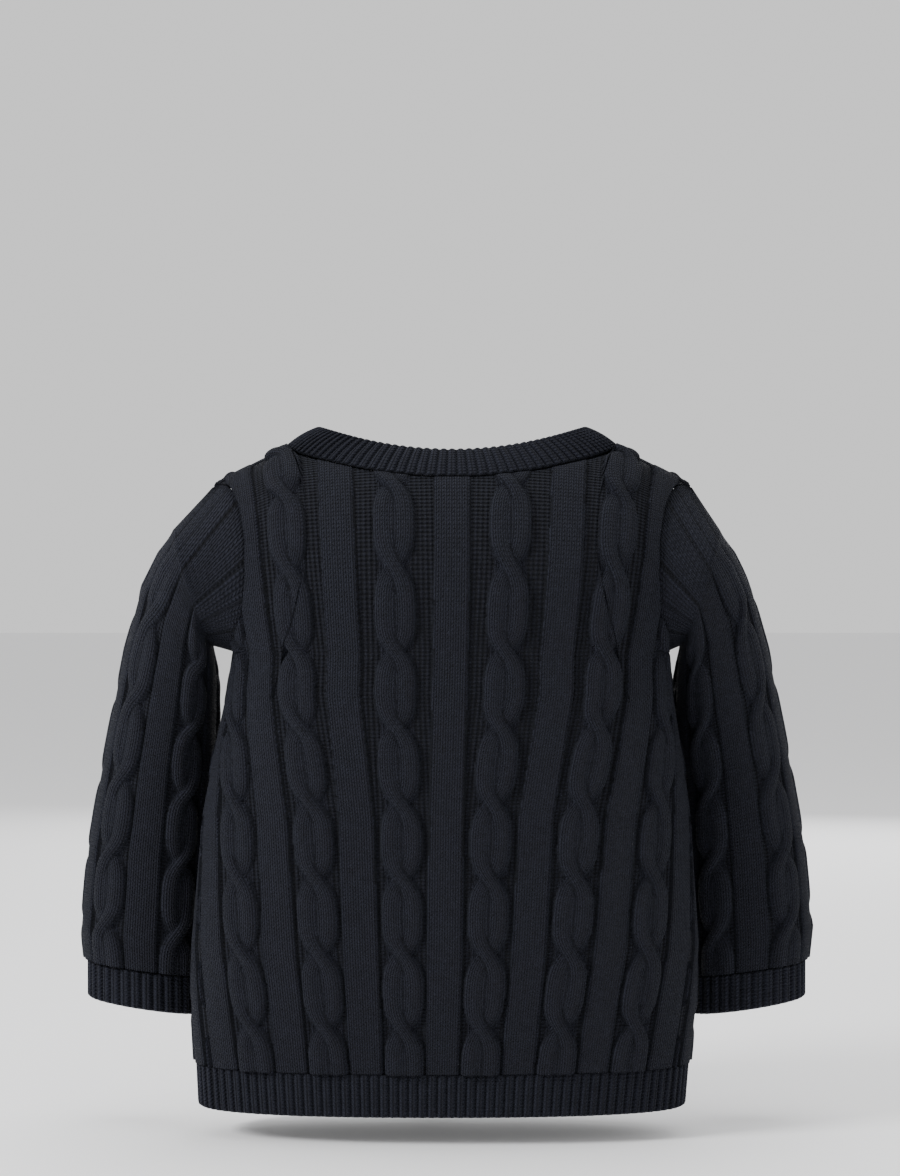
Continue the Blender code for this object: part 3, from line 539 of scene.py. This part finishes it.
def makeHem(name, node, side, hand, material):
    low, high = bodyForm["hemBottom"], bodyForm["hemTop"] - bodyForm["seamGap"]
    edge = float(edgeArc(np.array(bodyForm["hemTop"]), side))
    start = -edge if side < 0 else bodyForm["frontEdge"]
    ribs = round((edge - start) / knitForm["edgePitch"])

    def places(columns, rows):
        share = np.linspace(0, 1, columns)[None, :].repeat(rows, 0)
        level = np.linspace(0, 1, rows)[:, None].repeat(columns, 1)
        height = low + (high - low) * level
        reach = edgeArc(height, side)
        first = -reach if side < 0 else np.full_like(reach, bodyForm["frontEdge"])
        arc = first + (reach - first) * share
        return share, level, (arc if side < 0 else hand * arc), height

    share, level, arc, height = places(ribs * 10 + 1, 22)
    edgeRound = rounded(level / 0.09)
    rise = ribWave(share * ribs) * knitForm["edgeRise"] * (0.35 + 0.65 * edgeRound)
    lift = -knitForm["ribRise"] + rise - (1 - edgeRound) * 0.8
    outer = bodyPoint(arc, height, side) + bodyNormal(arc, height, side) * lift[..., None]
    _, _, inArc, inHeight = places(ribs * 2 + 1, 6)
    depth = -knitForm["ribRise"] - knitForm["wall"]
    inner = bodyPoint(inArc, inHeight, side) + bodyNormal(inArc, inHeight, side) * depth
    stitches = edgeStitches(share * ribs, height / knitForm["course"])
    return makeShell(name, outer, inner, False, stitches, material, node)


neckForm = {
    "topHalfWidth": 56.0, "topSide": 9.4, "topBack": (-21.5, -0.8), "topFront": (34.0, -37.0),
    "ribs": 95, "lean": 2.4,
}


def neckSeam(angle):
    side = np.where(np.cos(angle) > 0, -1.0, 1.0)
    x = bodyForm["neckHalfWidth"] * np.sin(angle)
    height = np.where(side < 0, neckRow(x, -1), neckRow(x, 1))
    start, last = bodyForm["domeStart"], bodyForm["shoulderRow"]
    turn = math.pi / 2 * (height - start) / (last - start)
    width, row, _ = sectionSizes(height, side)
    flatX, flatRow = np.abs(x / width), np.broadcast_to(row, x.shape)
    low = np.zeros_like(x)
    high = np.ones_like(x)
    for _ in range(30):
        share = (low + high) / 2
        over = tableAt(quarterTable["x"], flatRow, share) > flatX
        high = np.where(over, share, high)
        low = np.where(over, low, share)
    depth = side * tableAt(quarterTable["y"], flatRow, (low + high) / 2) * width * np.cos(turn)
    z = start + (shoulderLine(x) - start) * np.sin(turn)
    return np.stack([x + bodyValue("lean", height), depth, z], -1)


def neckTop(angle):
    shape = np.cos(angle) ** 2
    isBack = np.cos(angle) > 0
    y = np.where(isBack, neckForm["topBack"][0], neckForm["topFront"][0]) * np.abs(np.cos(angle))
    level = np.where(isBack, neckForm["topBack"][1], neckForm["topFront"][1])
    z = neckForm["topSide"] + (level - neckForm["topSide"]) * shape
    x = neckForm["topHalfWidth"] * np.sin(angle)
    edge = np.maximum(np.abs(x), bodyForm["frontEdge"] * 0.98)
    x = np.where(isBack, x, np.copysign(edge, x))
    return np.stack([x + neckForm["lean"], y, z], -1)


def makeNeckband(material):
    end = math.pi - math.asin((bodyForm["frontEdge"] + 0.1) / bodyForm["neckHalfWidth"])

    def frameAt(columns):
        angle = np.linspace(-end, end, columns)
        foot, top = neckSeam(angle), neckTop(angle)
        tangent = neckTop(angle + 0.02) - neckTop(angle - 0.02)
        facing = unit(np.cross(tangent, top - foot))
        foot = foot + unit(top - foot) * 0.55
        return foot, top, facing

    def sheet(columns, rows, liftOf):
        foot, top, facing = frameAt(columns)
        level = np.linspace(0, 1, rows)[:, None, None]
        bow = np.sin(math.pi * level) * 1.0
        lift = liftOf(np.linspace(0, neckForm["ribs"], columns)[None, :], level[..., 0])
        return foot + (top - foot) * level + facing * (bow + lift[..., None])

    def outerLift(ribs, level):
        edge = rounded((1 - level) / 0.13)
        return ribWave(ribs) * knitForm["edgeRise"] * (0.4 + 0.6 * edge) - 1.5 - (1 - edge) * 0.7

    columns, rows = neckForm["ribs"] * 10 + 1, 24
    outer = sheet(columns, rows, outerLift)
    inner = sheet(neckForm["ribs"] * 2 + 1, 7, lambda ribs, level: -2.9 + 0 * ribs + 0 * level)
    ribs = np.linspace(0, neckForm["ribs"], columns)[None, :].repeat(rows, 0)
    course = np.linspace(0, 17 / knitForm["course"], rows)[:, None].repeat(columns, 1)
    piece = makeShell("neckRib", outer, inner, False, edgeStitches(ribs, course),
                      material, "neckband")
    print("neck rib knitted")
    return piece


# sleeve rings from the armhole down: outer side, inner side, depth and place forward
sleeveForm = {
    "outerX": (117.0, 130.5, 138.5, 147.5, 155.5, 159.0, 157.5),
    "outerZ": (-34.0, -60.0, -87.0, -129.0, -172.0, -208.0, -221.5),
    "innerX": (99.5, 98.5, 98.5, 101.5, 103.0, 104.5, 105.5),
    "innerZ": (-86.0, -97.0, -114.0, -143.0, -179.0, -216.0, -228.5),
    "halfDepth": (28.0, 26.5, 26.0, 25.0, 23.5, 21.5, 20.0),
    "forward": (2.0, 9.0, 16.0, 24.0, 29.0, 31.0, 31.5),
    "repeats": 5, "columns": 250, "rows": 190,
}
cuffForm = {
    "top": (157.5, -222.06, 105.5, -229.06, 20.0, 31.5),
    "bottom": (157.5, -238.0, 105.5, -246.0, 19.0, 32.0), "ribs": 32,
}
sleeveNames = ("outerX", "outerZ", "innerX", "innerZ", "halfDepth", "forward")


def sleeveLengths():
    middleX = (np.array(sleeveForm["outerX"]) + np.array(sleeveForm["innerX"])) / 2
    middleZ = (np.array(sleeveForm["outerZ"]) + np.array(sleeveForm["innerZ"])) / 2
    return np.concatenate([[0.0], np.cumsum(np.hypot(np.diff(middleX), np.diff(middleZ)))])


def ringPoint(values, hand, angle):
    outerX, outerZ, innerX, innerZ, depth, forward = values
    across = -np.cos(angle)
    x = (outerX + innerX) / 2 + (outerX - innerX) / 2 * across
    z = (outerZ + innerZ) / 2 + (outerZ - innerZ) / 2 * across
    return np.stack([hand * x, forward - depth * np.sin(angle), z], -1)


def ringNormal(values, hand, angle):
    around = ringPoint(values, hand, angle + 0.02) - ringPoint(values, hand, angle - 0.02)
    outerX, outerZ, innerX, innerZ, depth, forward = values
    slope = np.stack([hand * (outerX - innerX), 0 * outerX, outerZ - innerZ], -1)
    axis = np.cross(slope, [0.0, 1.0, 0.0])
    normal = unit(np.cross(around, axis))
    middle = np.stack([hand * (outerX + innerX) / 2, forward, (outerZ + innerZ) / 2], -1)
    outward = ringPoint(values, hand, angle) - middle
    flip = np.sign(np.sum(normal * outward, -1, keepdims=True))
    return normal * flip


def armholeLoop(hand, angle):
    angle = angle % (2 * math.pi)
    side = np.where(angle < math.pi, -1.0, 1.0)
    share = (1 - np.cos(angle)) / 2
    height = bodyForm["underarm"] + (bodyForm["shoulderRow"] - bodyForm["underarm"]) * share
    return hand * armholeArc(height, side), height, side


def armholeRing(hand, angle, rise):
    point = bodyPoint(*armholeLoop(hand, angle))
    crown = np.exp(-((angle % (2 * math.pi) - math.pi) / 0.5) ** 2)
    step = 0.02 + 0.25 * crown  # wider over the shoulder, where back and front meet
    after = bodyPoint(*armholeLoop(hand, angle + step))
    before = bodyPoint(*armholeLoop(hand, angle - step))
    arc, height, side = armholeLoop(hand, angle)
    normal = np.where((side < 0)[:, None], bodyNormal(arc, height, -1), bodyNormal(arc, height, 1))
    away = unit(hand * np.cross(after - before, normal))
    return point + away * (bodyForm["seamGap"] * (1.4 + 0.8 * crown))[:, None] + normal * rise


def makeSleeve(name, node, hand, material):
    form = sleeveForm
    lengths = sleeveLengths()
    columns, rows = form["columns"], form["rows"]

    def sheet(columns, rows, isOuter):
        share = np.arange(columns) / columns
        angle = 2 * math.pi * share
        place = np.linspace(0.0, lengths[-1], rows)
        values = [np.interp(place, lengths, form[key])[:, None].repeat(columns, 1)
                  for key in sleeveNames]
        angles = angle[None, :].repeat(rows, 0)
        line = ((share - 0.25) % 1.0 * form["repeats"])[None, :].repeat(rows, 0)
        below = lengths[-1] - place - knitForm["cuffToCrossing"]
        turn = (below / knitForm["twist"])[:, None].repeat(columns, 1)
        half = (values[0] - values[2]) / 2
        width = math.pi * (half + values[4]) / form["repeats"]
        height = knitForm["firstCrossing"] + turn * knitForm["twist"]
        knit = ribKnit(-line if hand > 0 else line, width, height)
        settle = np.clip(place / 9.0, 0.12, 1.0)[:, None]
        if isOuter:
            lift = knit[0] * settle - knitForm["ribRise"]
        else:
            lift = np.full(angles.shape, -knitForm["ribRise"] - knitForm["wall"])
        crease = 0.9 * np.sin(height / 11.0 + 3.0 * np.sin(angles + hand)) * np.exp(
            -((place - 62.0) / 34.0) ** 2)[:, None] * np.clip(np.cos(angles), 0, 1)
        grid = ringPoint(values, hand, angles) + ringNormal(values, hand, angles) * (
            lift + crease)[..., None]
        first = armholeRing(hand, angle, -knitForm["ribRise"] if isOuter
                            else -knitForm["ribRise"] - knitForm["wall"])
        steps = (0.0, 0.25, 0.5, 0.75) if isOuter else (0.0,)
        blend = [first * (1 - step) + grid[0] * step for step in steps]
        stack = np.concatenate([np.array(blend), grid])
        extra = len(blend)
        padded = [np.concatenate([k[:1].repeat(extra, 0), k]) for k in knit]
        rowsDown = np.linspace(20.0, 0.0, extra, endpoint=False)[:, None] if extra > 1 else 0.0
        padded[2][:extra] += rowsDown / knitForm["course"]
        return stack, padded

    outer, knit = sheet(columns, rows, True)
    inner, _ = sheet(48, 34, False)
    piece = makeShell(name, outer, inner, True, knit[1:], material, node)
    print(name, "knitted")
    return piece


def makeCuff(name, node, hand, material):
    form = cuffForm

    def sheet(columns, rows, lift, bulge):
        angle = (2 * math.pi * np.arange(columns) / columns)[None, :].repeat(rows, 0)
        level = np.linspace(0, 1, rows)[:, None].repeat(columns, 1)
        values = [a + (b - a) * level for a, b in zip(form["top"], form["bottom"])]
        edge = rounded((1 - level) / 0.1)
        ribs = angle / (2 * math.pi) * form["ribs"]
        rise = lift + bulge * (ribWave(ribs) * knitForm["edgeRise"] * (0.4 + 0.6 * edge)
                               - (1 - edge) * 0.7)
        grid = ringPoint(values, hand, angle) + ringNormal(values, hand, angle) * rise[..., None]
        return grid, edgeStitches(ribs, -level * 16 / knitForm["course"])

    outer, stitches = sheet(form["ribs"] * 10, 20, -knitForm["ribRise"] - 0.6, 1.0)
    inner, _ = sheet(form["ribs"] * 2, 6, -knitForm["ribRise"] - knitForm["wall"] - 0.6, 0.0)
    return makeShell(name, outer, inner, True, stitches, material, node)


# arcs across each band, and how far each lies over the body
bandForm = {
    "buttons": {"arcs": (-8.6, -2.0, 5.0, 12.44), "lifts": (-3.2, -3.2, -3.2, -3.2)},
    "holes": {"arcs": (-12.44, -9.6, -2.0, 9.0), "lifts": (-3.2, 0.05, 0.05, 0.05)},
    "rows": 560,
}


def makeBand(name, node, form, material):
    low = bodyForm["hemBottom"]
    high = float(neckRow(np.array([0.0]), 1)[0])
    ribs = round((high - low) / knitForm["edgePitch"])
    topPoint = np.array([0.0, neckForm["topFront"][0], neckForm["topFront"][1]])

    def sheet(columns, rows, thick, bulge):
        share = np.linspace(0, 1, columns)
        arcs = np.interp(share, np.linspace(0, 1, 4), form["arcs"])
        lifts = np.interp(arcs, form["arcs"], form["lifts"])
        edge = rounded(np.minimum(share, 1 - share) / 0.06)
        level = np.linspace(0, 1, rows)
        height = (low + (high - low) * level)[:, None].repeat(columns, 1)
        arc = arcs[None, :].repeat(rows, 0)
        place = (level * ribs)[:, None].repeat(columns, 1)
        ribbed = ribWave(place) * knitForm["edgeRise"] - (1 - edge) * 0.8
        rise = lifts[None, :] + thick + bulge * ribbed
        grid = bodyPoint(arc, height, 1) + bodyNormal(arc, height, 1) * rise[..., None]
        last = bodyPoint(arcs, np.full(columns, high), 1)
        lean = np.stack([0 * arcs, topPoint[1] - last[:, 1], topPoint[2] - last[:, 2]], -1)
        facing = unit(np.stack([0 * arcs, lean[:, 2], -lean[:, 1]], -1))
        normal = bodyNormal(arcs, np.full(columns, high), 1)
        crown = []
        for step in np.linspace(0, 1, 26 if bulge else 5)[1:]:
            turned = unit(normal * (1 - step) + facing * step)
            tuck = 1 - math.sqrt(1 - max(0.0, (step - 0.88) / 0.13) ** 2)
            more = bulge * (ribWave(np.array(step * 4)) * knitForm["edgeRise"] - (1 - edge) * 0.8)
            crown.append(last + lean * step + turned * (lifts + thick + more - tuck * 0.5)[:, None])
        return np.concatenate([grid, np.array(crown)])

    outer = sheet(30, bandForm["rows"], knitForm["wall"], 1.0)
    inner = sheet(8, 70, 0.0, 0.0)
    rows = outer.shape[0]
    wales = (np.arange(rows) / (rows - 25) * ribs)[:, None].repeat(30, 1)
    course = np.linspace(0, 22 / knitForm["course"], 30)[None, :].repeat(rows, 0)
    piece = makeShell(name, outer, inner, False, edgeStitches(wales, course), material,
                      node)
    print(name, "knitted")
    return piece


buttonForm = {
    "radius": 6.5, "thickness": 2.6, "count": 5, "firstHeight": -268.0, "lastHeight": -66.0,
    "holeRadius": 0.75, "holeOffset": 1.35, "round": 0.4, "threadRadius": 0.42,
    "dish": ((0.24, 0.5), (0.10, 0.3)),  # inset as a share of the radius, then a drop
}
buttonLook = {"colour": (0.0100, 0.0115, 0.0180, 1.0), "streak": (0.0170, 0.0200, 0.0300, 1.0),
              "roughness": 0.46, "specular": 0.25, "streakScale": 420.0, "streakDepth": 0.00003}


def makeButtonPlastic(look):
    material = bpy.data.materials.new("buttonPlastic")
    material.use_nodes = True
    nodes, links = material.node_tree.nodes, material.node_tree.links
    shader = nodes["Principled BSDF"]
    shader.inputs["Roughness"].default_value = look["roughness"]
    shader.inputs["Specular IOR Level"].default_value = look["specular"]
    spot = nodes.new("ShaderNodeTexCoord")
    noise = nodes.new("ShaderNodeTexNoise")
    noise.inputs["Scale"].default_value = look["streakScale"]
    noise.inputs["Distortion"].default_value = 1.5
    links.new(spot.outputs["Object"], noise.inputs["Vector"])
    mix = nodes.new("ShaderNodeMix")
    mix.data_type = "RGBA"
    links.new(noise.outputs["Fac"], mix.inputs["Factor"])
    mix.inputs[6].default_value = look["colour"]
    mix.inputs[7].default_value = look["streak"]
    links.new(mix.outputs[2], shader.inputs["Base Color"])
    bump = nodes.new("ShaderNodeBump")
    bump.inputs["Distance"].default_value = look["streakDepth"]
    links.new(noise.outputs["Fac"], bump.inputs["Height"])
    links.new(bump.outputs[0], shader.inputs["Normal"])
    return material


def cutWith(thing, cutter):
    modifier = thing.modifiers.new("cut", "BOOLEAN")
    modifier.operation = "DIFFERENCE"
    modifier.object = cutter
    bpy.context.view_layer.objects.active = thing
    bpy.ops.object.modifier_apply(modifier=modifier.name)
    bpy.data.objects.remove(cutter, do_unlink=True)


def makeFirstButton(form, plastic, thread):
    # a disc with a raised rim and dished face, four holes and crossed thread
    bpy.ops.object.select_all(action="DESELECT")
    radius, thick = form["radius"] * mm, form["thickness"] * mm
    bpy.ops.mesh.primitive_cylinder_add(vertices=56, radius=radius, depth=thick,
                                        location=(0, 0, thick / 2))
    disc = bpy.context.object
    bpy.ops.object.transform_apply(location=True, rotation=False, scale=False)
    bpy.ops.object.mode_set(mode="EDIT")
    bpy.ops.mesh.select_mode(type="FACE")
    bpy.ops.mesh.select_all(action="DESELECT")
    bpy.ops.object.mode_set(mode="OBJECT")
    for face in disc.data.polygons:
        face.select = face.normal.z > 0.9
    bpy.ops.object.mode_set(mode="EDIT")
    for inset, drop in form["dish"]:
        bpy.ops.mesh.inset(thickness=radius * inset, depth=0.0, use_even_offset=False)
        bpy.ops.transform.translate(value=(0, 0, -drop * mm))
    bpy.ops.object.mode_set(mode="OBJECT")
    bevel = disc.modifiers.new("round", "BEVEL")
    bevel.width = form["round"] * mm
    bevel.segments = 3
    bevel.limit_method = "ANGLE"
    bpy.ops.object.modifier_apply(modifier=bevel.name)
    for x in (-1, 1):
        for y in (-1, 1):
            spot = (x * form["holeOffset"] * mm, y * form["holeOffset"] * mm, thick / 2)
            bpy.ops.mesh.primitive_cylinder_add(vertices=20, radius=form["holeRadius"] * mm,
                                                depth=thick * 2, location=spot)
            cutWith(disc, bpy.context.object)
    disc.data.materials.append(plastic)
    disc.data.materials.append(thread)
    bars = []
    for turn, level in ((math.pi / 4, 0.68), (-math.pi / 4, 0.80)):
        bpy.ops.mesh.primitive_cylinder_add(
            vertices=12, radius=form["threadRadius"] * mm, depth=form["holeOffset"] * 2.9 * mm,
            location=(0, 0, thick * level), rotation=(math.pi / 2, 0, turn))
        bar = bpy.context.object
        bar.data.materials.append(plastic)
        bar.data.materials.append(thread)
        for face in bar.data.polygons:
            face.material_index = 1
        bars.append(bar)
    bpy.ops.object.select_all(action="DESELECT")
    for bar in bars:
        bar.select_set(True)
    disc.select_set(True)
    bpy.context.view_layer.objects.active = disc
    bpy.ops.object.join()
    bpy.ops.object.shade_smooth_by_angle(angle=math.radians(40))
    return disc


def placeButtons(form, plastic, thread):
    first = makeFirstButton(form, plastic, thread)
    heights = np.linspace(form["firstHeight"], form["lastHeight"], form["count"])
    for number, height in enumerate(heights, 1):
        nodeLow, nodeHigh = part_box("button_%d" % number)
        middle = (np.array(nodeLow) + np.array(nodeHigh)) / 2
        normal = bodyNormal(np.array([0.0]), np.array([height]), 1)[0]
        across = np.array([1.0, 0.0, 0.0])
        upward = np.cross(normal, across)
        if upward[2] < 0:
            across, upward = -across, -upward
        turn = np.stack([across, upward, normal], axis=1)
        mesh = first.data.copy()
        mesh.name = "button%d" % number
        flat = np.zeros(len(mesh.vertices) * 3)
        mesh.vertices.foreach_get("co", flat)
        flat = flat.reshape(-1, 3) - [0, 0, form["thickness"] * mm / 2]
        mesh.vertices.foreach_set("co", (flat @ turn.T + middle).ravel())
        thing = bpy.data.objects.new("buttonPiece%d" % number, mesh)
        bpy.context.scene.collection.objects.link(thing)
        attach(thing, "root")
        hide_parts("button_%d" % number)
    bpy.data.objects.remove(first, do_unlink=True)
    print("buttons sewn on")


# pale floor and soft light from the left
roomForm = {"floorDrop": 0.012, "size": 30.0, "world": 0.95}


def addRoom():
    bpy.ops.object.select_all(action="DESELECT")
    low = float(cadLow[2]) - roomForm["floorDrop"]
    bpy.ops.mesh.primitive_plane_add(size=roomForm["size"], location=(0, 0, low))
    floor = bpy.context.object
    floor.name = "floor"
    paint = bpy.data.materials.new("paleFloor")
    paint.use_nodes = True
    paint.node_tree.nodes["Principled BSDF"].inputs["Base Color"].default_value = (0.86, 0.86, 0.87, 1)
    paint.node_tree.nodes["Principled BSDF"].inputs["Roughness"].default_value = 0.9
    floor.data.materials.append(paint)
    world = bpy.data.worlds.new("studio")
    world.use_nodes = True
    world.node_tree.nodes["Background"].inputs[0].default_value = (1.0, 1.0, 1.0, 1.0)
    world.node_tree.nodes["Background"].inputs[1].default_value = roomForm["world"]
    bpy.context.scene.world = world
    lights = (("keyLight", (-1.4, -0.9, 0.75), 0.5, 40.0), ("fillLight", (1.3, -1.1, 0.3), 1.2, 5.0),
              ("topLight", (0.1, 0.1, 1.4), 1.0, 12.0), ("frontLight", (0.3, 1.6, 0.5), 1.2, 14.0))
    for name, spot, size, power in lights:
        bpy.ops.object.light_add(type="AREA", location=spot)
        lamp = bpy.context.object
        lamp.name = name
        lamp.data.energy = power
        lamp.data.size = size
        aim = np.array([0.0, 0.0, -0.14]) - np.array(spot)
        flat = math.hypot(aim[0], aim[1])
        lamp.rotation_euler = (math.pi / 2 + math.atan2(aim[2], flat), 0,
                               math.atan2(aim[1], aim[0]) - math.pi / 2)
    print("room lit")


addCamera()
knit = makeKnit("navyKnit", knitLook)
makePanel("backKnit", "back", -1, 0, panelMesh["backColumns"],
                           panelMesh["backRows"], knit)
for name, node, hand in (("frontLeftKnit", "front_left", -1), ("frontRightKnit", "front_right", 1)):
    makePanel(name, node, 1, hand, panelMesh["frontColumns"],
                             panelMesh["frontRows"], knit)
makeHem("backHem", "hem_back", -1, 0, knit)
makeHem("leftHem", "hem_left", 1, -1, knit)
makeHem("rightHem", "hem_right", 1, 1, knit)
for word, hand in (("left", -1), ("right", 1)):
    makeSleeve(word + "Sleeve", "sleeve_" + word, hand, knit)
    makeCuff(word + "Cuff", "cuff_" + word, hand, knit)
makeNeckband(knit)
makeBand("buttonBand", "band_buttons", bandForm["buttons"], knit)
makeBand("holeBand", "band_holes", bandForm["holes"], knit)

placeButtons(buttonForm, makeButtonPlastic(buttonLook), knit)
addRoom()
